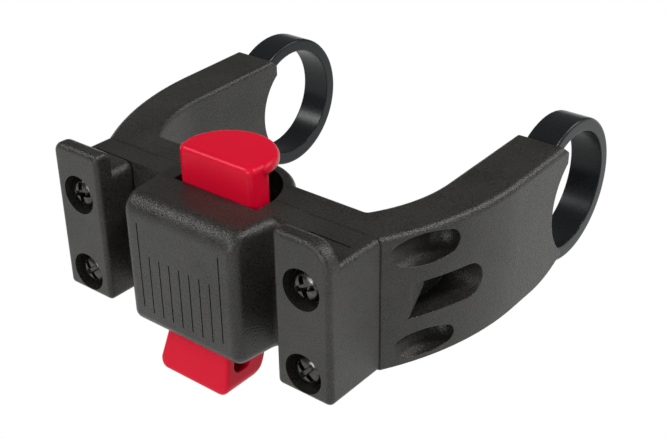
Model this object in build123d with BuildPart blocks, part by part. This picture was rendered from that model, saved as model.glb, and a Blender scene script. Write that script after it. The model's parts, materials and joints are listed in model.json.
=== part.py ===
from build123d import *
import os
from math import acos, asin, cos, degrees, radians, sin, sqrt

# A bag mount for a bicycle handlebar. Two arms clamp the bar, and a quick-release
# block in front carries the bag.
# Millimetres. X runs along the bar, the bag hangs on the -Y side and Z is up.
# The origin is on the bar's axis, midway between the two clamps.

os.makedirs("parts", exist_ok=True)

# Clamps on the bar
bar_diameter = 31.8
clamp_spacing = 94.4
band_width = 9.0
band_thickness = 3.65
band_edge = 0.8
band_sag = 0.35
hook_angle = 54.0
hook_width = 3.2
hook_rise = 2.6
foot_rise = 4.7
foot_thickness = 4.0
foot_overhang = 5.5
clamp_screw_setback = 5.6
clamp_screw_length = 12.0

# Rear bracket: a web with two arms
reach = 72.4
web_thickness = 8.6
web_corner_radius = 0.8
root_run = 7.15
bend_length = 21.8
inner_cheek = 1.95
outer_cheek = 2.8
arm_tip = 9.8
flare_length = 39.4
top_height = 15.5
bottom_depth = 19.25
arm_top_rise = 1.7
arm_bottom_rise = 1.3
jaw_start = 24.0
jaw_lip = 1.1
tip_chamfer = 1.8
arm_edge = 1.8
rim_edge = 1.5
seam_edge = 0.4
window_height = 9.2
window_drop = 0.5
window_inset = 3.75
window_length = 26.4
window_ramp_top = 11.9
window_ramp_bottom = 5.9
window_ramp_drop = 2.8
window_skin = 3.0
scallop_inset = 5.2
scallop_length = 16.5
upper_scallop_radius = 4.05
upper_scallop_drop = 5.1
lower_scallop_radius = 3.5
lower_scallop_rise = 4.85

# Hood behind the button, with the spring's pocket
pocket_setback = 1.8
pocket_radius = 13.2
hood_wall = 3.0
hood_corner = 2.0
pocket_depth = 9.5
pocket_base = 4.5

# Front: coupling block on its base plate, and the two lugs that hold it
body_width = 86.5
front_drop = 0.3
plate_thickness = 6.2
wrap_wall = 3.0
block_width = 38.8
block_depth = 13.2
block_taper = 1.8
block_brow = 5.0
block_chin = 3.0
block_edge = 2.6
channel_corner = 3.0
block_wall = 3.0
groove_width = 0.35
groove_depth = 0.25
groove_pitch = 3.25
groove_count = 9
short_groove_bottom = 14.9
long_groove_bottom = 14.0
short_groove_top = 1.0
long_groove_top = 9.2
lug_width = 15.65
lug_depth = 11.3
lip_thickness = 5.2
lip_rise = 5.4
right_lip_corner = 6.5
left_lip_corner = 2.8
lip_front_edge = 1.5
lip_back_edge = 2.5
lug_inner_edge = 1.3
lug_shoulder = 2.6
lug_top_edge = 1.6
lug_low_edge = 1.4

# Fasteners
screw_top_inset = 7.05
screw_bottom_inset = 5.7
screw_diameter = 5.0
screw_length = 20.0
screw_head_diameter = 8.2
screw_head_height = 3.6
screw_dome = 2.6
counterbore_diameter = 10.2
counterbore_depth = 4.4
cross_length = 5.6
cross_width = 1.2
cross_depth = 1.7
insert_diameter = 7.0
insert_length = 7.0
insert_groove = 0.4
cap_head_diameter = 8.5
cap_head_height = 3.4
socket_width = 3.0
socket_depth = 1.8

# Release slider: button on top, hook below, pushed up by one spring
travel = 6.0
button_width = 24.0
button_height = 9.3
button_skirt = 6.5
pad_radius = 12.6
pad_thickness = 2.4
pad_edge = 1.5
button_corner = 2.4
leg_width = 18.8
leg_thickness = 5.6
hook_top_width = 19.8
hook_tail_width = 23.4
hook_corner = 2.6
hook_edge = 1.0
hook_jog = 2.4
hook_lip_thickness = 2.2
hook_lip_lean = 3.6
hook_depth = 12.2
hook_floor = 5.0
hook_root = 1.6
hook_bend = 2.0
hook_reach = 18.0
hook_heel = 9.0
spring_diameter = 8.0
spring_wire = 1.0
spring_turns = 5.5
spring_setback = 4.9
spring_boss_diameter = 6.0
spring_boss_length = 2.0

# Clearances
slide_gap = 0.3
leg_back_gap = 0.4
clamp_gap = 0.3
thread_gap = 0.05
hole_gap = 0.25
seam_gap = 0.05

# Places worked out from the sizes
bar_radius = bar_diameter / 2
band_radius = bar_radius + band_thickness
clamp_x = clamp_spacing / 2
slot_width = band_width + 2 * clamp_gap
arm_inner = clamp_x - slot_width / 2 - inner_cheek
arm_outer = clamp_x + slot_width / 2 + outer_cheek
half_body = body_width / 2
full_height = top_height + bottom_depth
front_bottom = bottom_depth + front_drop
front_height = top_height + front_bottom
web_back = web_thickness - reach
web_corner = arm_inner - root_run
inner_bend_end = web_back + bend_length
flare_end = flare_length - reach
hood_centre = reach + pocket_setback
plate_front = reach + plate_thickness
block_front = plate_front + block_depth
lug_front = plate_front + lug_depth
lug_inner = half_body - lug_width
pocket_floor = top_height - pocket_depth
hood_radius = pocket_radius + hood_wall
leg_back = reach + leg_back_gap
leg_front = leg_back + leg_thickness
button_top = top_height + button_height
pad_bottom = button_top - pad_thickness
skirt_bottom = top_height - button_skirt
clamp_screw_y = -bar_radius - clamp_screw_setback
foot_drop = bar_radius - foot_rise
foot_end = clamp_screw_y - foot_overhang
foot_root = -sqrt(bar_radius**2 - foot_drop**2)
foot_angle = degrees(acos(foot_drop / bar_radius))
foot_bottom = -foot_drop - foot_thickness
spring_y = -reach + spring_setback
screw_seat = lug_front - counterbore_depth
screw_x = half_body - lug_width / 2
upper_screw_z = top_height - screw_top_inset
lower_screw_z = screw_bottom_inset - bottom_depth
screw_places = {
    "upper_right": (screw_x, upper_screw_z, 20),
    "lower_right": (screw_x, lower_screw_z, 48),
    "upper_left": (-screw_x, upper_screw_z, 8),
    "lower_left": (-screw_x, lower_screw_z, 35),
}
sides = {"right": 1, "left": -1}


def band_outline(gap):
    """Draws a band seen along the bar, grown by a gap: a ring open in front, with its hook and its foot."""
    far = 3 * band_radius
    with Locations((0, -band_sag)):
        Circle(band_radius + gap)
    Polygon(
        (0, 0),
        (-far * sin(radians(hook_angle)), far * cos(radians(hook_angle))),
        (-2 * far, 0),
        (-far * sin(radians(foot_angle)), -far * cos(radians(foot_angle))),
        align=None,
        mode=Mode.SUBTRACT,
    )
    hook_length = band_thickness + hook_rise + gap
    hook_middle = bar_radius + hook_length / 2
    with Locations((-hook_middle * sin(radians(hook_angle)), hook_middle * cos(radians(hook_angle)))):
        Rectangle(hook_width + 2 * gap, hook_length, rotation=hook_angle)
    with Locations((foot_root, gap - foot_drop)):
        Rectangle(foot_root - foot_end + gap, foot_thickness + 2 * gap, align=(Align.MAX, Align.MAX))


def front_plane(x, y, z):
    """Plane whose normal points at the bag, with its origin at the given place."""
    return Plane(origin=(x, y, z), x_dir=(1, 0, 0), z_dir=(0, -1, 0))


# Rear bracket, in plan: half of the web, the hood's half round and one arm that flares out, then mirrored
with BuildPart() as rear_bracket:
    hood_foot = sqrt(hood_radius**2 - (hood_centre + web_back) ** 2)
    hood_mid = radians(45 + degrees(asin((hood_centre + web_back) / hood_radius)) / 2)
    with BuildSketch(Plane.XY.offset(-bottom_depth)) as plan:
        with BuildLine():
            Line((0, -reach), (half_body, -reach))
            TangentArc((arm_outer, flare_end), (half_body, -reach), tangent=(0, -1))
            Polyline((arm_outer, flare_end), (arm_outer, 0), (arm_inner, 0), (arm_inner, inner_bend_end))
            TangentArc((arm_inner, inner_bend_end), (web_corner, web_back), tangent=(0, -1))
            Line((web_corner, web_back), (hood_foot, web_back))
            ThreePointArc(
                (hood_foot, web_back),
                (hood_radius * cos(hood_mid), hood_radius * sin(hood_mid) - hood_centre),
                (0, hood_radius - hood_centre),
            )
            Line((0, hood_radius - hood_centre), (0, -reach))
        make_face()
        on_web = plan.vertices().filter_by(lambda v: abs(v.Y - web_back) < 0.01)
        fillet(on_web.sort_by(Axis.X)[-1], radius=web_corner_radius)
        on_web = plan.vertices().filter_by(lambda v: abs(v.Y - web_back) < 0.01)
        fillet(on_web.sort_by(Axis.X)[0], radius=hood_corner)
        mirror(about=Plane.YZ)
    extrude(amount=full_height + arm_top_rise)
    # Seen from the side: the top rises a little towards the bar, and the lower jaw curves up to its tip
    jaw_tip_depth = sqrt(bar_radius**2 - arm_tip**2) + jaw_lip
    jaw_bottom = arm_bottom_rise - bottom_depth
    with BuildSketch(Plane.YZ.offset(-arm_outer)) as side:
        with BuildLine():
            Polyline(
                (-reach, -bottom_depth),
                (-reach, top_height),
                (-arm_tip - tip_chamfer, top_height + arm_top_rise),
                (-arm_tip, top_height + arm_top_rise - tip_chamfer),
                (-arm_tip, -jaw_tip_depth),
            )
            floor_line = Line((-reach, -bottom_depth), (-jaw_start, jaw_bottom))
            TangentArc((-jaw_start, jaw_bottom), (-arm_tip, -jaw_tip_depth), tangent=floor_line % 1)
        make_face()
    extrude(amount=2 * arm_outer, mode=Mode.INTERSECT)
    # The hood is a cup: below its base the web's rear face is flat
    hood_base = pocket_floor - pocket_base
    with Locations((0, web_back, -bottom_depth)):
        Box(
            3 * hood_radius - hood_foot,
            hood_radius,
            hood_base + bottom_depth,
            align=(Align.CENTER, Align.MIN, Align.MIN),
            mode=Mode.SUBTRACT,
        )
    # The arms' outer edges and the rim of the opening are well rounded; the front is only broken at its ends
    rim = rear_bracket.faces().filter_by(lambda f: f.normal_at().Z > 0.99).sort_by(SortBy.AREA)[-1].edges()
    rim = rim.filter_by(lambda e: -reach + 0.1 < e.center().Y < -arm_tip - tip_chamfer - 0.1)
    outer_rim = rim.filter_by(lambda e: abs(e.center().X) > arm_inner + 0.1)
    inner_rim = rim.filter_by(lambda e: abs(e.center().X) < arm_inner + 0.1)
    fillet(outer_rim, radius=arm_edge)
    fillet(inner_rim, radius=rim_edge)
    ends = rear_bracket.faces().sort_by(Axis.Y)[0].edges()
    chamfer(ends.filter_by(Axis.Z), length=seam_edge)
    # Half-round pocket under the button's pad
    with BuildSketch(Plane.XY.offset(pocket_floor)):
        with Locations((0, -hood_centre)):
            Circle(pocket_radius)
        with Locations((0, -reach)):
            Rectangle(
                4 * pocket_radius,
                4 * pocket_radius,
                align=(Align.CENTER, Align.MAX),
                mode=Mode.SUBTRACT,
            )
    extrude(amount=pocket_depth + arm_top_rise, mode=Mode.SUBTRACT)
    # Bore for the bar, and the slots that take the bands
    with Locations(Rotation(0, 90, 0)):
        Cylinder(bar_radius, 3 * arm_outer, mode=Mode.SUBTRACT)
    for x in (clamp_x, -clamp_x):
        with BuildSketch(Plane.YZ.offset(x - slot_width / 2)):
            band_outline(clamp_gap)
            with Locations((foot_end - clamp_gap, clamp_gap - foot_drop)):
                Rectangle(-foot_end, bottom_depth, align=(Align.MIN, Align.MAX))
        extrude(amount=slot_width, mode=Mode.SUBTRACT)
        with Locations((x, clamp_screw_y, clamp_gap - foot_drop)):
            Cylinder(
                insert_diameter / 2 + thread_gap,
                clamp_screw_length - foot_thickness,
                align=(Align.CENTER, Align.CENTER, Align.MIN),
                mode=Mode.SUBTRACT,
            )
    # Holes for the inserts that take the lug screws
    for x, z, turn in screw_places.values():
        with Locations(front_plane(x, -reach, z)):
            Cylinder(
                insert_diameter / 2 + thread_gap,
                insert_length,
                align=(Align.CENTER, Align.CENTER, Align.MAX),
                mode=Mode.SUBTRACT,
            )
    # Outside each arm: two scallops with ball ends, and a window with a ramp in front of its trough
    window_z = (top_height - bottom_depth) / 2 - window_drop
    window_top = window_z + window_height / 2
    window_bottom = window_z - window_height / 2
    round_end = window_length - window_height / 2 - reach
    trough_floor = arm_inner + window_skin
    for side_sign in sides.values():
        scallop_x = side_sign * (half_body + scallop_inset)
        for z, radius in (
            (top_height - upper_scallop_drop, upper_scallop_radius),
            (lower_scallop_rise - bottom_depth, lower_scallop_radius),
        ):
            with Locations(front_plane(scallop_x, scallop_length - reach, z)):
                Cylinder(
                    radius,
                    scallop_length + radius,
                    align=(Align.CENTER, Align.CENTER, Align.MIN),
                    mode=Mode.SUBTRACT,
                )
                Sphere(radius, mode=Mode.SUBTRACT)
        for top_front, bottom_front, floor in (
            (-reach, -reach, half_body + window_inset),
            (window_ramp_top - reach, window_ramp_bottom - reach, trough_floor),
        ):
            with BuildSketch(Plane.YZ.offset(side_sign * floor)):
                with Locations((round_end, window_z)):
                    Circle(window_height / 2)
                Polygon(
                    (round_end, window_bottom),
                    (round_end, window_top),
                    (top_front, window_top),
                    (top_front, window_top - window_ramp_drop),
                    (bottom_front, window_bottom),
                    align=None,
                )
            extrude(amount=side_sign * arm_outer, mode=Mode.SUBTRACT)
rear_bracket.part.label = "rear_bracket"
export_step(rear_bracket.part, "parts/rear_bracket.step")

# Coupling block: the bag's block on a base plate, with the slider's shaft open at the back
with BuildPart() as coupling_block:
    half_block = block_width / 2
    foot_half = half_block + 1.5 * channel_corner
    with BuildSketch(Plane.XY.offset(-front_bottom)) as block_plan:
        with BuildLine():
            Polyline(
                (-foot_half, -reach),
                (-foot_half, -plate_front),
                (-half_block, -plate_front),
                (block_taper - half_block, -block_front),
                (half_block - block_taper, -block_front),
                (half_block, -plate_front),
                (foot_half, -plate_front),
                (foot_half, -reach),
                close=True,
            )
        make_face()
        roots = block_plan.vertices().filter_by(lambda v: abs(abs(v.X) - half_block) < 0.01)
        fillet(roots, radius=channel_corner)
    extrude(amount=front_height)
    brow = coupling_block.edges().filter_by(Axis.X).group_by(Axis.Y)[0]
    fillet(brow.sort_by(Axis.Z)[-1], radius=block_brow)
    chin = coupling_block.edges().filter_by(Axis.X).group_by(Axis.Y)[0]
    fillet(chin.sort_by(Axis.Z)[0], radius=block_chin)
    # One rounding runs round each side of the block and on into the channel
    cheek = coupling_block.faces().filter_by(lambda f: abs(f.normal_at().X) > 0.9).edges()
    fillet(cheek.filter_by(lambda e: e.center().Y < -plate_front - 1.2 * channel_corner), radius=block_edge)
    plate_width = body_width - 2 * wrap_wall
    with BuildSketch(Plane.YZ.offset(-plate_width / 2)) as plate_side:
        with Locations((-reach, -front_bottom)):
            Rectangle(plate_thickness, front_height, align=(Align.MAX, Align.MIN))
        chamfer(plate_side.vertices().group_by(Axis.Y)[-1].sort_by(Axis.X)[-1], length=seam_edge)
    extrude(amount=plate_width)
    # Shaft: wide for the button, narrow for the leg, with the step as the stop at full travel
    stop_z = skirt_bottom - travel - slide_gap
    shaft_depth = leg_front + slide_gap - reach
    with Locations((0, -reach, stop_z)):
        Box(
            2 * pocket_radius,
            shaft_depth,
            full_height,
            align=(Align.CENTER, Align.MAX, Align.MIN),
            mode=Mode.SUBTRACT,
        )
        Box(
            leg_width + 2 * slide_gap,
            shaft_depth,
            4 * full_height,
            align=(Align.CENTER, Align.MAX, Align.CENTER),
            mode=Mode.SUBTRACT,
        )
    # The block is cored out from the shaft to an even wall
    core_bottom = block_wall - front_bottom
    core_depth = block_front - block_wall - reach
    with Locations((0, -reach, core_bottom)):
        Box(
            leg_width - 2 * block_wall,
            core_depth,
            stop_z - block_wall - core_bottom,
            align=(Align.CENTER, Align.MAX, Align.MIN),
            mode=Mode.SUBTRACT,
        )
    # Grooves on the front: two long ones frame the short ones, which leave a bare field above them
    for column in range(groove_count):
        groove_x = (column - (groove_count - 1) / 2) * groove_pitch
        is_frame = column in (0, groove_count - 1)
        groove_top = long_groove_top if is_frame else short_groove_top
        groove_bottom = long_groove_bottom if is_frame else short_groove_bottom
        with Locations((groove_x, -block_front, -groove_bottom)):
            Box(
                groove_width,
                2 * groove_depth,
                groove_top + groove_bottom,
                align=(Align.CENTER, Align.CENTER, Align.MIN),
                mode=Mode.SUBTRACT,
            )
    for x, z, turn in screw_places.values():
        with Locations(front_plane(x, -reach, z)):
            Cylinder(screw_diameter / 2 + hole_gap, 3 * plate_thickness, mode=Mode.SUBTRACT)
coupling_block.part.label = "coupling_block"
export_step(coupling_block.part, "parts/coupling_block.step")

# Lugs: a slab in front whose lip stands above the body behind it, and a cheek round the plate's end.
# Both are drawn on the right, and the left one, whose lip has a squarer outer corner, is mirrored.
for name, lip_corner in (("right", right_lip_corner), ("left", left_lip_corner)):
    with BuildPart() as lug:
        cheek_inside = half_body - wrap_wall + seam_gap
        lip_top = top_height + lip_rise
        lip_back = lug_front - lip_thickness
        with BuildSketch(Plane.XZ.offset(lip_back)) as slab_face:
            with Locations((lug_inner, -front_bottom)):
                Rectangle(lug_width, front_height + lip_rise, align=(Align.MIN, Align.MIN))
            fillet(slab_face.vertices().group_by(Axis.Y)[-1].sort_by(Axis.X)[-1], radius=lip_corner)
        extrude(amount=lip_thickness)
        # One rounding runs along the slab's top and down its outer side, in front and again behind the lip
        slab_front = lug.faces().sort_by(Axis.Y)[0].edges()
        slab_front = slab_front.filter_by(lambda e: e.center().X > lug_inner + 0.1)
        fillet(slab_front.filter_by(lambda e: e.center().Z > 0.1 - front_bottom), radius=lip_front_edge)
        slab_back = lug.faces().filter_by(lambda f: f.normal_at().Y > 0.99)[0].edges()
        slab_back = slab_back.filter_by(lambda e: e.center().X > lug_inner + 0.1)
        fillet(slab_back.filter_by(lambda e: e.center().Z > top_height), radius=lip_back_edge)
        slab_inside = lug.faces().filter_by(lambda f: f.normal_at().X < -0.99)[0].edges()
        slab_inside = slab_inside.filter_by(lambda e: e.center().Y < -lip_back - 0.1)
        fillet(slab_inside.filter_by(lambda e: e.center().Z > 0.1 - front_bottom), radius=lug_inner_edge)
        slab_low = lug.faces().sort_by(Axis.Z)[0].edges()
        fillet(slab_low.filter_by(lambda e: e.center().Y < -lip_back - 0.1), radius=lug_low_edge)
        # The body behind it, seen from the front, is rounded on both top edges
        with BuildSketch(Plane.XZ.offset(reach)) as lug_body:
            with Locations((lug_inner, -front_bottom)):
                Rectangle(lug_width, front_height, align=(Align.MIN, Align.MIN))
            fillet(lug_body.vertices().group_by(Axis.Y)[-1].sort_by(Axis.X)[0], radius=lug_shoulder)
            fillet(lug_body.vertices().group_by(Axis.Y)[-1].sort_by(Axis.X)[-1], radius=lug_top_edge)
            fillet(lug_body.vertices().group_by(Axis.Y)[0], radius=lug_low_edge)
        extrude(amount=lip_back + lip_back_edge - reach)
        with Locations((0, -reach, 0)):
            Box(
                2 * cheek_inside,
                plate_thickness,
                4 * front_bottom,
                align=(Align.CENTER, Align.MAX, Align.CENTER),
                mode=Mode.SUBTRACT,
            )
        seam = lug.edges().filter_by(lambda e: abs(e.center().Y + plate_front) < 0.01)
        chamfer(seam.filter_by(Axis.X).sort_by(Axis.Z)[-1], length=seam_edge)
        for x, z, turn in screw_places.values():
            if x > 0:
                with Locations(front_plane(x, -lug_front, z)):
                    CounterBoreHole(
                        screw_diameter / 2 + hole_gap,
                        counterbore_diameter / 2,
                        counterbore_depth,
                    )
    with BuildPart() as placed_lug:
        if name == "right":
            add(lug.part)
        else:
            mirror(lug.part, about=Plane.YZ)
    placed_lug.part.label = name + "_lug"
    export_step(placed_lug.part, "parts/" + name + "_lug.step")

# Release slider: one moulding seen from the side as an S, with the button on top and the hook below
with BuildPart() as release_slider:
    hook_bottom = -front_bottom - hook_depth
    hook_lip_top = -front_bottom - slide_gap
    hook_front = leg_back + hook_reach
    inner_floor = hook_bottom + hook_floor
    lean_at_floor = hook_lip_lean * hook_floor / (hook_lip_top - hook_bottom)
    with BuildSketch(Plane.YZ.offset(-button_width / 2)) as side:
        with BuildLine():
            Polyline(
                (-leg_back, button_top),
                (-leg_front, button_top),
                (-leg_front, hook_lip_top),
                (-leg_front - hook_jog, hook_lip_top - hook_jog),
                (-leg_front - hook_jog, inner_floor),
                (hook_lip_thickness + lean_at_floor - hook_front, inner_floor),
                (hook_lip_thickness + hook_lip_lean - hook_front, hook_lip_top),
                (hook_lip_lean - hook_front, hook_lip_top),
                (-hook_front, hook_bottom),
                (-leg_back - hook_jog, hook_bottom),
                (-leg_back - hook_jog, hook_lip_top - hook_jog),
                (-leg_back, hook_lip_top),
                close=True,
            )
        make_face()
        low = side.vertices().group_by(Axis.Y)[0].sort_by(Axis.X)
        fillet(low[-1], radius=hook_heel)
        hollow = side.vertices().filter_by(lambda v: abs(v.Y - inner_floor) < 0.01).sort_by(Axis.X)
        fillet(hollow[0], radius=hook_root)
        hollow = side.vertices().filter_by(lambda v: abs(v.Y - inner_floor) < 0.01).sort_by(Axis.X)
        fillet(hollow[-1], radius=hook_bend)
    extrude(amount=button_width)
    # Seen from the front: the button's skirt, the narrow leg, and the hook that widens downward
    with BuildSketch(Plane.XZ.offset(leg_back)) as front:
        with BuildLine():
            Polyline(
                (0, button_top),
                (button_width / 2, button_top),
                (button_width / 2, skirt_bottom),
                (leg_width / 2, skirt_bottom),
                (leg_width / 2, hook_lip_top),
                (hook_top_width / 2, hook_lip_top),
                (hook_tail_width / 2, hook_bottom),
                (0, hook_bottom),
                close=True,
            )
        make_face()
        fillet(front.vertices().group_by(Axis.Y)[0].sort_by(Axis.X)[-1], radius=hook_corner)
        mirror(about=Plane.YZ)
    extrude(amount=hook_reach, mode=Mode.INTERSECT)
    hook_face = release_slider.faces().sort_by(Axis.Y)[0].edges()
    fillet(hook_face.filter_by(lambda e: e.center().Z < hook_lip_top - 0.1), radius=hook_edge)
    upright = release_slider.edges().filter_by(Axis.Z).filter_by(lambda e: e.center().Z > skirt_bottom)
    fillet(upright.group_by(Axis.Y)[0], radius=button_corner)
    # Half-round pad over the spring, and the boss that centres the spring
    with BuildSketch(Plane.XY.offset(pad_bottom)):
        with Locations((0, -hood_centre)):
            Circle(pad_radius)
        with Locations((0, -hood_centre)):
            Rectangle(4 * pad_radius, 4 * pad_radius, align=(Align.CENTER, Align.MAX), mode=Mode.SUBTRACT)
    extrude(amount=pad_thickness)
    crown = release_slider.faces().sort_by(Axis.Z)[-1]
    fillet(crown.edges(), radius=pad_edge)
    with Locations((0, spring_y, pad_bottom)):
        Cylinder(spring_boss_diameter / 2, spring_boss_length, align=(Align.CENTER, Align.CENTER, Align.MAX))
release_slider.part.label = "release_slider"
export_step(release_slider.part, "parts/release_slider.step")

# Return spring, between the pocket's floor and the pad
with BuildPart() as return_spring:
    spring_length = pad_bottom - pocket_floor
    coil_height = spring_length - spring_wire - 2 * thread_gap
    coil_start = pocket_floor + spring_wire / 2 + thread_gap
    with BuildLine(Plane.XY.offset(coil_start)) as coil:
        Helix(coil_height / spring_turns, coil_height, spring_diameter / 2, center=(0, spring_y, 0))
    with BuildSketch(Plane(origin=coil.line @ 0, z_dir=coil.line % 0)):
        Circle(spring_wire / 2)
    sweep(path=coil.line, is_frenet=True)
return_spring.part.label = "return_spring"
export_step(return_spring.part, "parts/return_spring.step")

# Screws through the lugs, with domed heads and a cross recess, and the inserts that hold them
for place, (x, z, turn) in screw_places.items():
    seat = front_plane(x, -screw_seat, z)
    with BuildPart(seat) as lug_screw:
        Cylinder(screw_head_diameter / 2, screw_head_height, align=(Align.CENTER, Align.CENTER, Align.MIN))
        fillet(lug_screw.edges().sort_by(Axis.Y)[0], radius=screw_dome)
        Cylinder(screw_diameter / 2, screw_length, align=(Align.CENTER, Align.CENTER, Align.MAX))
        with Locations((0, 0, screw_head_height)):
            for angle in (turn, turn + 90):
                Box(
                    cross_length,
                    cross_width,
                    cross_depth,
                    rotation=(0, 0, angle),
                    align=(Align.CENTER, Align.CENTER, Align.MAX),
                    mode=Mode.SUBTRACT,
                )
    lug_screw.part.label = place + "_screw"
    export_step(lug_screw.part, "parts/" + place + "_screw.step")

    with BuildPart(front_plane(x, -reach, z)) as lug_insert:
        Cylinder(insert_diameter / 2, insert_length, align=(Align.CENTER, Align.CENTER, Align.MAX))
        Cylinder(screw_diameter / 2 + thread_gap, 3 * insert_length, mode=Mode.SUBTRACT)
    lug_insert.part.label = place + "_insert"
    export_step(lug_insert.part, "parts/" + place + "_insert.step")

# Clamp bands, with the screws that pull their feet up into the arms
for name, side_sign in sides.items():
    x = side_sign * clamp_x
    with BuildPart() as clamp_band:
        with BuildSketch(Plane.YZ.offset(x - band_width / 2)):
            band_outline(0)
            Circle(bar_radius, mode=Mode.SUBTRACT)
        extrude(amount=band_width)
        rim = clamp_band.edges().filter_by(GeomType.CIRCLE)
        fillet(rim.filter_by(lambda e: abs(e.radius - band_radius) < 0.01), radius=band_edge)
        with Locations((x, clamp_screw_y, -foot_drop)):
            Hole(screw_diameter / 2 + hole_gap)
    clamp_band.part.label = name + "_band"
    export_step(clamp_band.part, "parts/" + name + "_band.step")

    with BuildPart(Plane.XY.offset(foot_bottom)) as clamp_screw:
        with Locations((x, clamp_screw_y, 0)):
            Cylinder(cap_head_diameter / 2, cap_head_height, align=(Align.CENTER, Align.CENTER, Align.MAX))
            Cylinder(screw_diameter / 2, clamp_screw_length, align=(Align.CENTER, Align.CENTER, Align.MIN))
        with BuildSketch(Plane.XY.offset(foot_bottom - cap_head_height)):
            with Locations((x, clamp_screw_y)):
                RegularPolygon(socket_width / 2, 6, major_radius=False)
        extrude(amount=socket_depth, mode=Mode.SUBTRACT)
    clamp_screw.part.label = name + "_clamp_screw"
    export_step(clamp_screw.part, "parts/" + name + "_clamp_screw.step")

    with BuildPart(Plane.XY.offset(clamp_gap - foot_drop)) as clamp_insert:
        with Locations((x, clamp_screw_y, 0)):
            Cylinder(insert_diameter / 2, insert_length, align=(Align.CENTER, Align.CENTER, Align.MIN))
            Cylinder(screw_diameter / 2 + thread_gap, 3 * insert_length, mode=Mode.SUBTRACT)
    clamp_insert.part.label = name + "_clamp_insert"
    export_step(clamp_insert.part, "parts/" + name + "_clamp_insert.step")
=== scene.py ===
# %% [markdown]
# # A handlebar bag mount, dressed for its picture
# The solids of the mount come from its CAD model and stay exactly where they are.
# Blender gives them their finishes, and it gives the small metal pieces the forms that a
# plain solid leaves out: cross recesses, threads, knurls and a spring with flat ends.

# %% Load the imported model
import json
import math

import bmesh
import bpy
import numpy as np
from mathutils import Matrix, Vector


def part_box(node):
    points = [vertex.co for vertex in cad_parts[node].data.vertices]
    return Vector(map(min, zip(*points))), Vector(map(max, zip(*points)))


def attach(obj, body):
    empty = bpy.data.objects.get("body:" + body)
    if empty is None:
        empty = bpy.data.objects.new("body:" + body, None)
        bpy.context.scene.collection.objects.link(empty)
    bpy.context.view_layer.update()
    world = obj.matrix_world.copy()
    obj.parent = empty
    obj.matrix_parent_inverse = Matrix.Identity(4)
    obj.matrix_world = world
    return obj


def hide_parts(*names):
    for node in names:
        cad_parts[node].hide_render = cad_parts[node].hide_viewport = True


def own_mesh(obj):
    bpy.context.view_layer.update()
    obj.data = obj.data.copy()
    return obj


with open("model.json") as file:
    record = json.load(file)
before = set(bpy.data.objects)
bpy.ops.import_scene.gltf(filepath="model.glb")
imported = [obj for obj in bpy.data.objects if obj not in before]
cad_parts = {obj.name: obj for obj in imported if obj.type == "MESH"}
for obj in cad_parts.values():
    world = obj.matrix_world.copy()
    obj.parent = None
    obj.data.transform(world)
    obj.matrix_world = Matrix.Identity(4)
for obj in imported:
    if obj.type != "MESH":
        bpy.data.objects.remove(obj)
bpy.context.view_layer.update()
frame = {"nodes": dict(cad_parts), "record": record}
nodes = frame["nodes"]
MM = 0.001

# %% [markdown]
# ## Camera
# The photograph was taken from the front right, a little above, with a moderately long lens.
# The clamp rings are circles of a known size, so the camera's place and its lens follow from
# the ellipses they make in the picture. The picture's middle is the lens axis: no shift.

# %% Camera
PHOTO_WIDTH = 666
FOCAL_PIXELS = 1183.83
SENSOR_WIDTH_MM = 36.0
NEAREST_SEEN = 0.01
EYE_MM = (174.097, -250.150, 143.932)
RIGHT = (0.781707, 0.623530, -0.012020)
DOWN = (0.295865, -0.387750, -0.872992)
FORWARD = (-0.548997, 0.678868, -0.487587)

camera_data = bpy.data.cameras.new("photo_camera")
camera_data.sensor_width = SENSOR_WIDTH_MM
camera_data.lens = FOCAL_PIXELS / PHOTO_WIDTH * SENSOR_WIDTH_MM
camera_data.clip_start = NEAREST_SEEN
camera = bpy.data.objects.new("photo_camera", camera_data)
placed = np.eye(4)
placed[:3, :3] = np.array([RIGHT, [-c for c in DOWN], [-c for c in FORWARD]]).T
placed[:3, 3] = np.array(EYE_MM) * MM
camera.matrix_world = Matrix(placed.tolist())
bpy.context.scene.collection.objects.link(camera)
bpy.context.scene.camera = camera
print("lens mm:", round(camera_data.lens, 2))

# %% [markdown]
# ## Colours and nodes
# Colours are written as sRGB hex, the way a picture editor shows them, and one function turns
# them into the linear values that a shader works with. A second small function adds a node,
# sets its sockets and links its inputs, so that each material reads as a short list.

# %% Helpers for materials
def linear(hex_colour):
    """sRGB hex to linear RGBA: c/12.92 below 0.04045, else ((c+0.055)/1.055)^2.4."""
    srgb = np.array([int(hex_colour[i:i + 2], 16) for i in (1, 3, 5)]) / 255
    low = srgb / 12.92
    high = ((srgb + 0.055) / 1.055) ** 2.4
    return (*np.where(srgb <= 0.04045, low, high).tolist(), 1.0)


def add_node(material, kind, settings=None, **inputs):
    """Adds a node; settings are its own properties, inputs are socket values or sockets to link from."""
    tree = material.node_tree
    node = tree.nodes.new(kind)
    for name, value in (settings or {}).items():
        setattr(node, name, value)
    for name, value in inputs.items():
        socket = node.inputs[name.replace("_", " ")]
        if isinstance(value, bpy.types.NodeSocket):
            tree.links.new(value, socket)
        else:
            socket.default_value = value
    return node


def new_material(name):
    """An empty material with an output node, and the Object coordinates of the piece it is on."""
    material = bpy.data.materials.new(name)
    material.use_nodes = True
    material.node_tree.nodes.clear()
    output = add_node(material, "ShaderNodeOutputMaterial")
    place = add_node(material, "ShaderNodeTexCoord").outputs["Object"]
    return material, output, place


def per_metre(size_mm):
    """A noise texture's scale for features of that size."""
    return 1 / (size_mm * MM)


# %% [markdown]
# ## Floor
# A white table lies under the mount. To the camera and to anything glossy it is plain white, as in the
# picture, and to other light it is white paper, so it takes a shadow and throws light back up.

# %% Floor
FLOOR_Z = -0.11
FLOOR_REACH = 8.0

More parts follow.
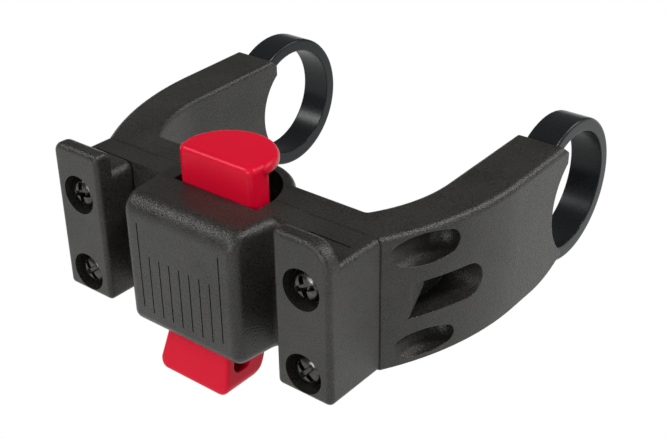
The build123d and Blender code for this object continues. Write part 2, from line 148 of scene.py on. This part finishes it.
floor_mesh = bpy.data.meshes.new("table")
corners = [(x * FLOOR_REACH, y * FLOOR_REACH, FLOOR_Z) for x, y in ((-1, -1), (1, -1), (1, 1), (-1, 1))]
floor_mesh.from_pydata(corners, [], [(0, 1, 2, 3)])
table = bpy.data.objects.new("table", floor_mesh)
bpy.context.scene.collection.objects.link(table)

paper, paper_out, _ = new_material("white_paper_sweep")
light_path = add_node(paper, "ShaderNodeLightPath").outputs
seen = add_node(paper, "ShaderNodeMath", {"operation": "ADD"})
seen_all = add_node(paper, "ShaderNodeMath", {"operation": "ADD", "use_clamp": True})
links = paper.node_tree.links
links.new(light_path["Is Camera Ray"], seen.inputs[0])
links.new(light_path["Is Glossy Ray"], seen.inputs[1])
links.new(seen.outputs[0], seen_all.inputs[0])
links.new(light_path["Is Transmission Ray"], seen_all.inputs[1])
matt = add_node(paper, "ShaderNodeBsdfDiffuse", Color=linear("#F2F2F2"))
glow = add_node(paper, "ShaderNodeEmission", Color=linear("#FFFFFF"), Strength=1.0)
sheet = add_node(paper, "ShaderNodeMixShader", Fac=seen_all.outputs[0])
links.new(matt.outputs[0], sheet.inputs[1])
links.new(glow.outputs[0], sheet.inputs[2])
links.new(sheet.outputs[0], paper_out.inputs["Surface"])
floor_mesh.materials.append(paper)
print("floor at mm:", FLOOR_Z / MM)

# %% [markdown]
# ## Light
# Five soft lights stand around the mount in a dim room. Black plastic shows its form mostly by what it
# mirrors: its front and its sides mirror the white table and look grey, its top mirrors the dim room and
# looks nearly black, and only its rounded edges catch the lights. The lights at the upper right and the
# front left are small, for crisp highlights. The other three are larger, and fill the sides softly.

# %% Lamps and world
LIT_PLACE = np.array([0.0, -0.04, 0.0])
LAMP_DISTANCE = 0.8


def soft_light(name, place, aim, size, watts):
    """A square area lamp at a place, turned to face a point."""
    data = bpy.data.lights.new(name, "AREA")
    data.shape = "SQUARE"
    data.size = size
    data.energy = watts
    lamp = bpy.data.objects.new(name, data)
    back = (place - aim) / np.linalg.norm(place - aim)
    side = np.cross((0.0, 1.0, 0.0), back)
    side = side / np.linalg.norm(side)
    matrix = np.eye(4)
    matrix[:3, :3] = np.array([side, np.cross(back, side), back]).T
    matrix[:3, 3] = place
    lamp.matrix_world = Matrix(matrix.tolist())
    bpy.context.scene.collection.objects.link(lamp)


lamps = (
    ("upper_right_softbox", (0.54, 0.10, 0.83), 0.13, 3.2),
    ("front_left_softbox", (-0.56, -0.49, 0.67), 0.20, 2.4),
    ("back_right_softbox", (0.49, 0.68, 0.55), 0.36, 2.3),
    ("low_right_softbox", (0.94, 0.00, 0.34), 0.34, 1.1),
    ("low_front_softbox", (0.12, -0.93, 0.34), 0.34, 3.2),
)
for lamp_name, toward, lamp_size, watts in lamps:
    away = np.array(toward) / np.linalg.norm(toward)
    soft_light(lamp_name, LIT_PLACE + away * LAMP_DISTANCE, LIT_PLACE, lamp_size, watts)

world = bpy.data.worlds.new("dim_studio")
world.use_nodes = True
background = world.node_tree.nodes["Background"]
background.inputs["Color"].default_value = linear("#707070")
background.inputs["Strength"].default_value = 1.0
bpy.context.scene.world = world
bpy.context.scene.view_settings.view_transform = "Standard"
print("lamps:", len(lamps), "watts:", round(sum(watts for *_, watts in lamps), 1))

# %% [markdown]
# ## Moulded plastic
# A moulded surface is the print of its steel mould: fine bumps, a gloss that varies from bump to bump and
# a colour that is a little lighter on them. Three plastics differ only in numbers, so one function makes
# them all. A Bevel node makes edges look a little rounder than they are, as moulded edges do. Where two
# pieces meet, their narrow bevels would catch the light as a bright line, so those are left matt.

# %% Moulded plastic
CLOUD_MM = 14.0
CLOUD_SHARE = 0.3
SEAM_BEVEL_MM = 0.4
SEAM_ROUGHNESS = 1.0
# Where the matt band starts and ends: shares of the way from two bevels before the seam to two behind it
SEAM_BAND = (0.45, 0.75)


def moulded_plastic(
    name, colour, dark, roughness, spread, grain_mm, grain_depth_mm, specular_level, edge_mm, seam_mm=None
):
    """A plastic with a grain: mottled colour, uneven roughness, a bump of the given size and depth.

    Its edges look edge_mm rounder than they are. Where a seam at y = seam_mm is given, only the edges
    behind it do, and the seam's own bevels are matt.
    """
    material, output, place = new_material(name)
    grain = add_node(
        material,
        "ShaderNodeTexNoise",
        Vector=place,
        Scale=per_metre(grain_mm),
        Detail=3.0,
        Roughness=0.6,
    )
    cloud = add_node(
        material,
        "ShaderNodeTexNoise",
        Vector=place,
        Scale=per_metre(CLOUD_MM),
        Detail=4.0,
        Roughness=0.55,
    )
    mottle = add_node(
        material,
        "ShaderNodeMix",
        {"data_type": "FLOAT"},
        Factor=CLOUD_SHARE,
        A=grain.outputs["Fac"],
        B=cloud.outputs["Fac"],
    )
    tint = add_node(material, "ShaderNodeValToRGB", Fac=mottle.outputs["Result"])
    tint.color_ramp.elements[0].position = 0.35
    tint.color_ramp.elements[0].color = linear(dark)
    tint.color_ramp.elements[1].position = 0.65
    tint.color_ramp.elements[1].color = linear(colour)
    rough = add_node(
        material,
        "ShaderNodeMapRange",
        Value=grain.outputs["Fac"],
        From_Min=0.3,
        From_Max=0.7,
        To_Min=roughness - spread,
        To_Max=roughness + spread,
    )
    radius = edge_mm * MM
    finish = rough.outputs["Result"]
    if seam_mm is not None:
        depth = add_node(material, "ShaderNodeSeparateXYZ", Vector=place).outputs["Y"]
        softer = add_node(
            material,
            "ShaderNodeMapRange",
            Value=depth,
            From_Min=(seam_mm + SEAM_BEVEL_MM) * MM,
            From_Max=(seam_mm + 5 * SEAM_BEVEL_MM) * MM,
            To_Min=0.0,
            To_Max=edge_mm * MM,
        )
        radius = softer.outputs["Result"]
        across = add_node(
            material,
            "ShaderNodeMapRange",
            Value=depth,
            From_Min=(seam_mm - 2 * SEAM_BEVEL_MM) * MM,
            From_Max=(seam_mm + 2 * SEAM_BEVEL_MM) * MM,
            To_Min=0.0,
            To_Max=1.0,
        )
        band = add_node(material, "ShaderNodeValToRGB", Fac=across.outputs["Result"])
        band.color_ramp.interpolation = "CONSTANT"
        band.color_ramp.elements[1].position = SEAM_BAND[1]
        band.color_ramp.elements[1].color = (0.0, 0.0, 0.0, 1.0)
        band.color_ramp.elements.new(SEAM_BAND[0]).color = (1.0, 1.0, 1.0, 1.0)
        dulled = add_node(
            material,
            "ShaderNodeMix",
            {"data_type": "FLOAT"},
            Factor=band.outputs["Color"],
            A=rough.outputs["Result"],
            B=SEAM_ROUGHNESS,
        )
        finish = dulled.outputs["Result"]
    edge = add_node(material, "ShaderNodeBevel", {"samples": 8}, Radius=radius)
    bump = add_node(
        material,
        "ShaderNodeBump",
        Normal=edge.outputs["Normal"],
        Height=grain.outputs["Fac"],
        Strength=1.0,
        Distance=grain_depth_mm * MM,
    )
    shader = add_node(
        material,
        "ShaderNodeBsdfPrincipled",
        Base_Color=tint.outputs["Color"],
        Roughness=finish,
        Normal=bump.outputs["Normal"],
        IOR=1.53,
        Specular_IOR_Level=specular_level,
    )
    material.node_tree.links.new(shader.outputs["BSDF"], output.inputs["Surface"])
    return material


# %% [markdown]
# ## Black nylon, smooth nylon and red acetal
# Bracket, block and lugs are glass-filled nylon, moulded against spark-eroded steel. The steel
# leaves a fine grain of rounded bumps, so highlights break into a sparkle and nothing looks polished.
# The real grain is about 0.15 mm, too fine for a picture this size, so it is drawn at 0.42 mm.
# The bands come from a polished mould: darker, with long soft streaks of light. The slider is acetal,
# red all through, and its own colour shows far more than its gloss.

# %% Three plastics
black_nylon = moulded_plastic(
    "black_nylon_spark_eroded",
    colour="#302F2B",
    dark="#121110",
    roughness=0.31,
    spread=0.07,
    grain_mm=0.42,
    grain_depth_mm=0.15,
    specular_level=0.34,
    edge_mm=0.4,
    seam_mm=-72.4,
)
band_nylon = moulded_plastic(
    "black_nylon_smooth",
    colour="#181B1D",
    dark="#131517",
    roughness=0.28,
    spread=0.03,
    grain_mm=0.60,
    grain_depth_mm=0.002,
    specular_level=0.20,
    edge_mm=0.6,
)
red_plastic = moulded_plastic(
    "red_moulded_acetal",
    colour="#C60428",
    dark="#BE0224",
    roughness=0.34,
    spread=0.05,
    grain_mm=0.45,
    grain_depth_mm=0.010,
    specular_level=0.16,
    edge_mm=0.8,
)
print("plastics:", black_nylon.name, band_nylon.name, red_plastic.name)

# %% [markdown]
# ## Metals
# The screws are steel with a dark plating, the spring is drawn steel wire, and the inserts are
# turned brass. All three are bare metal, so their colour is in what they mirror.

# %% Steel and brass
PLATING_SPREAD = 0.08


def bare_metal(name, colour, dark, roughness, speck_mm):
    """A metal whose plating is uneven: a noise moves its colour and its roughness together."""
    material, output, place = new_material(name)
    speck = add_node(
        material,
        "ShaderNodeTexNoise",
        Vector=place,
        Scale=per_metre(speck_mm),
        Detail=4.0,
        Roughness=0.6,
    )
    tint = add_node(material, "ShaderNodeValToRGB", Fac=speck.outputs["Fac"])
    tint.color_ramp.elements[0].position = 0.3
    tint.color_ramp.elements[0].color = linear(dark)
    tint.color_ramp.elements[1].position = 0.7
    tint.color_ramp.elements[1].color = linear(colour)
    rough = add_node(
        material,
        "ShaderNodeMapRange",
        Value=speck.outputs["Fac"],
        From_Min=0.3,
        From_Max=0.7,
        To_Min=roughness + PLATING_SPREAD,
        To_Max=roughness - PLATING_SPREAD,
    )
    shader = add_node(
        material,
        "ShaderNodeBsdfPrincipled",
        Base_Color=tint.outputs["Color"],
        Roughness=rough.outputs["Result"],
        Metallic=1.0,
    )
    material.node_tree.links.new(shader.outputs["BSDF"], output.inputs["Surface"])
    return material


screw_steel = bare_metal("black_plated_steel", "#5C5A58", "#3E3D3C", roughness=0.27, speck_mm=1.2)
spring_steel = bare_metal("drawn_spring_wire", "#B4B4B2", "#8E8E8C", roughness=0.28, speck_mm=0.8)
insert_brass = bare_metal("turned_brass", "#D2A95A", "#B58C44", roughness=0.30, speck_mm=0.9)
print("metals:", screw_steel.name, spring_steel.name, insert_brass.name)

# %% [markdown]
# ## A finish for each solid
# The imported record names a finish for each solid, and the solid gets the material of that name. The
# small metal pieces, made next, take theirs from the same list.

# %% Finishes
finish_of = {
    "black_nylon": black_nylon,
    "band_nylon": band_nylon,
    "red_plastic": red_plastic,
    "screw_steel": screw_steel,
    "spring_steel": spring_steel,
    "insert_brass": insert_brass,
}
slot_of = {row["node"]: row["material_slot"] for row in frame["record"]["subparts"]}
for node_name, piece in nodes.items():
    piece.data.materials.clear()
    piece.data.materials.append(finish_of[slot_of[node_name]])
print("finishes:", sorted(finish_of))

# %% [markdown]
# ## Surfaces on a grid
# The small metal pieces are made as surfaces: a function of two parameters gives the place of each
# point of a grid, and four neighbouring points make a face. The whole grid is one numpy array, so a
# thread or a knurl is one line of arithmetic. A grid may close on itself, as a ring does, or end in
# two poles, as a turned piece does. Points that coincide at a pole or a seam are then merged.

# %% From a grid to a piece
MERGE_WITHIN = 1e-7


def grid_faces(rows, columns, wrap_rows=False, wrap_columns=True):
    """Faces of a grid of points: (i, j), (i, j+1), (i+1, j+1), (i+1, j).

    A side that is wrapped joins its own start.
    """
    i, j = np.meshgrid(
        np.arange(rows if wrap_rows else rows - 1),
        np.arange(columns if wrap_columns else columns - 1),
        indexing="ij",
    )
    i, j = i.ravel(), j.ravel()
    this_row, next_row = i * columns, (i + 1) % rows * columns
    beside = (j + 1) % columns
    return np.stack([this_row + j, this_row + beside, next_row + beside, next_row + j], axis=1)


def make_piece(name, grids, body, slot_name, crease_degrees=32.0):
    """A mesh object from grids of (points in mm, faces).

    Doubles are merged, faces point outward, and shading is smooth up to the crease angle.
    """
    mesh = bpy.data.meshes.new(name)
    starts = np.cumsum([0] + [len(points) for points, _ in grids])
    points = np.concatenate([points for points, _ in grids]) * MM
    faces = np.concatenate([faces + start for (_, faces), start in zip(grids, starts)])
    mesh.from_pydata(points.tolist(), [], faces.tolist())
    shaper = bmesh.new()
    shaper.from_mesh(mesh)
    bmesh.ops.remove_doubles(shaper, verts=shaper.verts, dist=MERGE_WITHIN)
    bmesh.ops.recalc_face_normals(shaper, faces=shaper.faces)
    shaper.to_mesh(mesh)
    shaper.free()
    mesh.shade_smooth()
    mesh.set_sharp_from_angle(angle=math.radians(crease_degrees))
    piece = bpy.data.objects.new(name, mesh)
    bpy.context.scene.collection.objects.link(piece)
    mesh.materials.append(finish_of[slot_name])
    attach(piece, body)
    return piece


def turned(radius, height, angle):
    """Points of a turned piece: (r cos a, r sin a, h), with r and h given for each row and each angle."""
    radius, height, angle = np.broadcast_arrays(radius, height, angle)
    return np.stack([radius * np.cos(angle), radius * np.sin(angle), height], axis=-1).reshape(-1, 3)


def teeth(turns):
    """A thread's or a knurl's flank: 0 on the crest and 1 in the root, straight between them."""
    return 1 - np.abs(2 * (turns % 1.0) - 1)


# Rows are where a piece's own right, up and axis point in the frame
TO_BAG = np.array([[1, 0, 0], [0, 0, 1], [0, -1, 0]], float)
TO_GROUND = np.array([[1, 0, 0], [0, -1, 0], [0, 0, -1]], float)


def box_mm(node_name):
    """Lowest and highest corner of a CAD node, in mm."""
    low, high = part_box(node_name)
    return np.array(low) / MM, np.array(high) / MM


# %% [markdown]
# ## Lug screws
# Four steel screws with domed heads hold the lugs. The real ones have a cross recess that a driver
# centres itself in, so its four wings get shallower outwards and their walls lean. The head is a
# square grid bent into a disc: its straight lines run along the wings, and its rim is the head's rim.

# %% Lug screw's head
HEAD_RADIUS = 4.1
HEAD_HEIGHT = 3.6
HEAD_DOME = 2.6
WING_LENGTH = 2.8
WING_WIDTH = 0.66
WING_DEPTH = 1.9
WING_SHALLOWING = 0.55
WALL_LEAN = 0.16
# Grid lines in mm from the middle, along the head's section: close together at the recess's walls
GRID_LINES = (
    0, 0.22, 0.44, 0.58, 0.7, 0.95, 1.3, 1.7, 2.1, 2.5,
    2.8, 2.95, 3.1, 3.3, 3.7, 4.2, 4.7, 5.2, 5.58, 6.1,
)


def wing(along, aside):
    """1 within a wing of the recess, 0 outside it, and a leaning wall between."""
    end = np.clip((WING_LENGTH - np.abs(along)) / WALL_LEAN, 0, 1)
    return end * np.clip((WING_WIDTH - np.abs(aside)) / WALL_LEAN, 0, 1)


def domed_head():
    """A disc from a square grid (u, v): (u sqrt(1 - v^2/2), v sqrt(1 - u^2/2)).

    A point's distance from the middle is the length along the head's section: flat, then a quarter round,
    then straight down. The recess is two crossed wings, depth x (1 - shallowing x distance/length), let in
    where a point is within a wing.
    """
    quarter = HEAD_DOME * math.pi / 2
    flat = HEAD_RADIUS - HEAD_DOME
    side = HEAD_HEIGHT - HEAD_DOME
    length = flat + quarter + side
    half = np.append(np.array(GRID_LINES) / length, 1.0)
    line = np.concatenate([-half[:0:-1], half])
    u, v = np.meshgrid(line, line, indexing="ij")
    across, up = u * np.sqrt(1 - v**2 / 2), v * np.sqrt(1 - u**2 / 2)
    away = np.hypot(across, up)
    run = away * length
    bend = np.clip((run - flat) / HEAD_DOME, 0, math.pi / 2)
    radius = np.minimum(run, flat) + HEAD_DOME * np.sin(bend)
    height = HEAD_HEIGHT - HEAD_DOME * (1 - np.cos(bend)) - np.clip(run - flat - quarter, 0, side)
    scale = radius / np.maximum(away, 1e-9)
    a, b = across * scale, up * scale
    inside = np.maximum(wing(a, b), wing(b, a))
    height = height - inside * WING_DEPTH * (1 - WING_SHALLOWING * radius / WING_LENGTH)
    size = len(line)
    head = np.stack([a, b, height], axis=-1).reshape(-1, 3)
    index = np.arange(size * size).reshape(size, size)
    rim = np.concatenate([index[0, :-1], index[:-1, -1], index[-1, :0:-1], index[:0:-1, 0]])
    seat = np.concatenate([head[rim], np.zeros((len(rim), 3))])
    return [(head, grid_faces(size, size, wrap_columns=False)), (seat, grid_faces(2, len(rim)))]


print("grid lines across a head:", 2 * len(GRID_LINES) + 1)

# %% [markdown]
# ## Threads
# A thread is a shank whose radius falls and rises with the height, and the height at which it does so
# winds up by one pitch in each turn. The thread fades out over one pitch at both ends.

# %% Lug screws
SCREW_RADIUS = 2.5
SCREW_LENGTH = 20.0
THREAD_PITCH = 0.8
THREAD_DEPTH = 0.38
DRIVER_STOPPED_AT = {"upper_right": 20, "lower_right": 48, "upper_left": 8, "lower_left": 35}


def threaded_shank(length, columns=24, steps=7):
    """A shank below its head, to a blunt tip: radius - depth x teeth(height/pitch + turns)."""
    angle = np.linspace(0, 2 * math.pi, columns, endpoint=False)
    height = np.linspace(0.0, -length, int(length / THREAD_PITCH * steps) + 1)[:, None]
    fade = np.clip(-height / THREAD_PITCH, 0, 1) * np.clip((height + length) / THREAD_PITCH, 0, 1)
    winding = teeth(height / THREAD_PITCH + angle / (2 * math.pi))
    radius = SCREW_RADIUS - THREAD_DEPTH * (1 - fade) - THREAD_DEPTH * fade * winding
    radius = np.concatenate([np.zeros((1, columns)), radius, np.zeros((1, columns))])
    height = np.concatenate([[[0.0]], height, [[-length]]])
    return turned(radius, height, angle), grid_faces(len(height), columns)


def turn_about_axis(points, degrees):
    """The same points, turned about the piece's own axis."""
    turn = math.radians(degrees)
    spun = np.array([[math.cos(turn), math.sin(turn), 0], [-math.sin(turn), math.cos(turn), 0], [0, 0, 1]])
    return points @ spun


for place_name, stopped_at in DRIVER_STOPPED_AT.items():
    low, high = box_mm(place_name + "_screw")
    under_head = np.array([(low[0] + high[0]) / 2, low[1] + HEAD_HEIGHT, (low[2] + high[2]) / 2])
    grids = [
        (turn_about_axis(points, stopped_at) @ TO_BAG + under_head, faces)
        for points, faces in domed_head() + [threaded_shank(SCREW_LENGTH)]
    ]
    screw = make_piece(place_name + "_cross_screw", grids, "mount", "screw_steel")
    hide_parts(place_name + "_screw")
print("cross screws:", len(DRIVER_STOPPED_AT), "faces each:", len(screw.data.polygons))

# %% [markdown]
# ## Clamp screws
# A socket screw under each arm pulls the band tight. Its knurled head has a six-sided socket: at each
# angle the socket's radius is half its width over the cosine of the angle from the nearest flat's middle.

# %% Clamp screws
CAP_RADIUS = 4.25
CAP_HEIGHT = 3.4
CAP_KNURLS = 36
CAP_KNURL_DEPTH = 0.12
CAP_BREAK = 0.3
SOCKET_WIDTH = 3.0
SOCKET_DEPTH = 1.8
CLAMP_SCREW_LENGTH = 12.0


def socket_head():
    """Rows of (radius, height) carried round the axis.

    They run from the middle of the seat, round the head's side and over its rim, down into the socket
    and to its middle.
    """
    columns = 2 * CAP_KNURLS
    angle = np.linspace(0, 2 * math.pi, columns, endpoint=False)
    side = CAP_RADIUS - CAP_KNURL_DEPTH * (np.arange(columns) % 2)
    flat_turn = math.pi / 3
    socket = SOCKET_WIDTH / 2 / np.cos((angle + flat_turn / 2) % flat_turn - flat_turn / 2)
    plain = np.full(columns, CAP_RADIUS - CAP_KNURL_DEPTH - CAP_BREAK)
    rows = [
        (np.zeros(columns), 0.0),
        (plain, 0.0),
        (side, CAP_BREAK),
        (side, CAP_HEIGHT - 2 * CAP_BREAK),
        (plain + CAP_BREAK / 2, CAP_HEIGHT - CAP_BREAK / 2),
        (plain - CAP_BREAK, CAP_HEIGHT),
        (socket + CAP_BREAK / 2, CAP_HEIGHT),
        (socket, CAP_HEIGHT - CAP_BREAK / 2),
        (socket, CAP_HEIGHT - SOCKET_DEPTH),
        (np.zeros(columns), CAP_HEIGHT - SOCKET_DEPTH - CAP_BREAK),
    ]
    radius = np.stack([r for r, _ in rows])
    height = np.array([h for _, h in rows])[:, None]
    return turned(radius, height, angle), grid_faces(len(rows), columns)


for side_name in ("right", "left"):
    low, high = box_mm(side_name + "_clamp_screw")
    under_head = np.array([(low[0] + high[0]) / 2, (low[1] + high[1]) / 2, low[2] + CAP_HEIGHT])
    grids = [
        (points @ TO_GROUND + under_head, faces)
        for points, faces in (socket_head(), threaded_shank(CLAMP_SCREW_LENGTH))
    ]
    screw = make_piece(side_name + "_socket_screw", grids, "mount", "screw_steel")
    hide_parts(side_name + "_clamp_screw")
print("socket screws: 2, faces each:", len(screw.data.polygons))

# %% [markdown]
# ## Threaded inserts
# The screws bite into brass inserts that were pressed hot into the plastic. Two bands of slanted knurls
# keep an insert from turning, and the groove between them keeps it from pulling out.

# %% Threaded inserts
INSERT_RADIUS = 3.5
INSERT_LENGTH = 7.0
INSERT_BORE = 2.55
INSERT_BREAK = 0.25
INSERT_KNURLS = 18
INSERT_KNURL_DEPTH = 0.22
KNURL_SLANT = 0.05
# Depths below the mouth at which the knurled bands end and start, with the groove between them
FIRST_BAND_END, GROOVE_START, GROOVE_END, SECOND_BAND_START = 3.0, 3.1, 3.9, 4.0
GROOVE_HALF = 0.45
GROOVE_DEPTH = 0.45
BAND_ROWS = 6
BORE_ROWS = 43
BORE_THREAD_SHARE = 0.8


def knurled_insert():
    """A ring-shaped section carried round: down the outside, up the bore, closed at both ends.

    Outside: radius - knurl depth x teeth(knurls x (turns + slant)), or the plain groove. Bore: radius +
    thread depth x teeth(height/pitch + turns).
    """
    columns = 4 * INSERT_KNURLS
    angle = np.linspace(0, 2 * math.pi, columns, endpoint=False)
    turns = angle / (2 * math.pi)
    first_band = np.linspace(INSERT_BREAK, FIRST_BAND_END, BAND_ROWS)
    second_band = np.linspace(SECOND_BAND_START, INSERT_LENGTH - INSERT_BREAK, BAND_ROWS)
    down = -np.concatenate([[0.0], first_band, [GROOVE_START, GROOVE_END], second_band, [INSERT_LENGTH]])
    from_middle = down + INSERT_LENGTH / 2
    in_groove = np.abs(from_middle) < GROOVE_HALF
    at_end = (down == 0.0) | (down == -INSERT_LENGTH)
    slant = np.sign(from_middle)[:, None] * KNURL_SLANT * down[:, None]
    knurl = INSERT_KNURL_DEPTH * teeth(INSERT_KNURLS * (turns + slant))
    base = INSERT_RADIUS - GROOVE_DEPTH * in_groove - INSERT_BREAK * at_end
    outside = base[:, None] - knurl * ~(in_groove | at_end)[:, None]
    up = np.linspace(-INSERT_LENGTH, 0, BORE_ROWS)
    winding = teeth(up[:, None] / THREAD_PITCH + turns)
    bore = INSERT_BORE + THREAD_DEPTH * BORE_THREAD_SHARE * winding
    radius = np.concatenate([outside, bore])
    height = np.concatenate([down, up])[:, None]
    return turned(radius, height, angle), grid_faces(len(height), columns, wrap_rows=True)


inserts = {place_name + "_insert": TO_BAG for place_name in DRIVER_STOPPED_AT}
inserts.update({"right_clamp_insert": TO_GROUND, "left_clamp_insert": TO_GROUND})
for node_name, axes_of in inserts.items():
    low, high = box_mm(node_name)
    mouth = (low + high) / 2 + axes_of[2] * INSERT_LENGTH / 2
    points, faces = knurled_insert()
    insert_name = node_name.replace("_insert", "_knurled_insert")
    insert = make_piece(insert_name, [(points @ axes_of + mouth, faces)], "mount", "insert_brass")
    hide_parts(node_name)
print("inserts:", len(inserts), "faces each:", len(insert.data.polygons))

# %% [markdown]
# ## Return spring
# A compression spring under the pad lifts the button again. Its first and last turns lie closed and
# are ground flat, so that it stands straight.

# %% Return spring
WIRE_RADIUS = 0.5
WIRE_SIDES = 14
END_TURNS = 1.0
ACTIVE_TURNS = 5.0
STEPS_PER_TURN = 30
# In wire radii: how far a ground end lies from the wire's middle, and how far a closed turn rises
GROUND_TO = 0.55
CLOSED_RISE = 1.9
SPRING_CREASE = 50.0


def wound_spring(low, high):
    """A round wire carried along a helix: middle + coil radius x (cos a, sin a) + rise.

    The helix rises by one wire in each end turn and evenly between them. Its ends are ground: no point is
    below the floor of the pocket or above the pad.
    """
    middle = (low + high) / 2
    coil_radius = (high[0] - low[0]) / 2 - WIRE_RADIUS
    bottom, top = low[2] + WIRE_RADIUS * GROUND_TO, high[2] - WIRE_RADIUS * GROUND_TO
    closed = CLOSED_RISE * WIRE_RADIUS
    all_turns = ACTIVE_TURNS + 2 * END_TURNS
    turns = np.linspace(0, all_turns, int(all_turns * STEPS_PER_TURN) + 1)
    known = [0, END_TURNS, all_turns - END_TURNS, all_turns]
    rise = np.interp(turns, known, [bottom, bottom + closed, top - closed, top])
    a = 2 * math.pi * turns
    outward = np.stack([np.cos(a), np.sin(a), 0 * a], axis=-1)
    slope = np.gradient(rise, a)
    along = np.stack([-coil_radius * np.sin(a), coil_radius * np.cos(a), slope], axis=-1)
    along = along / np.linalg.norm(along, axis=1, keepdims=True)
    upward = np.cross(outward, along)
    centre = outward * coil_radius + np.stack([0 * a + middle[0], 0 * a + middle[1], rise], axis=-1)
    # The first and the last row are poles, which close the wire's ends
    row = np.concatenate([[0], np.arange(len(a)), [len(a) - 1]])
    wire = np.full(len(row), WIRE_RADIUS)
    wire[[0, -1]] = 0.0
    phi = np.linspace(0, 2 * math.pi, WIRE_SIDES, endpoint=False)[None, :, None]
    round_wire = np.cos(phi) * outward[row][:, None] + np.sin(phi) * upward[row][:, None]
    points = centre[row][:, None] + wire[:, None, None] * round_wire
    points[..., 2] = np.clip(points[..., 2], low[2], high[2])
    return points.reshape(-1, 3), grid_faces(len(row), WIRE_SIDES)


low, high = box_mm("return_spring")
spring = make_piece("closed_end_spring", [wound_spring(low, high)], "mount", "spring_steel", SPRING_CREASE)
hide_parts("return_spring")
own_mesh(spring)
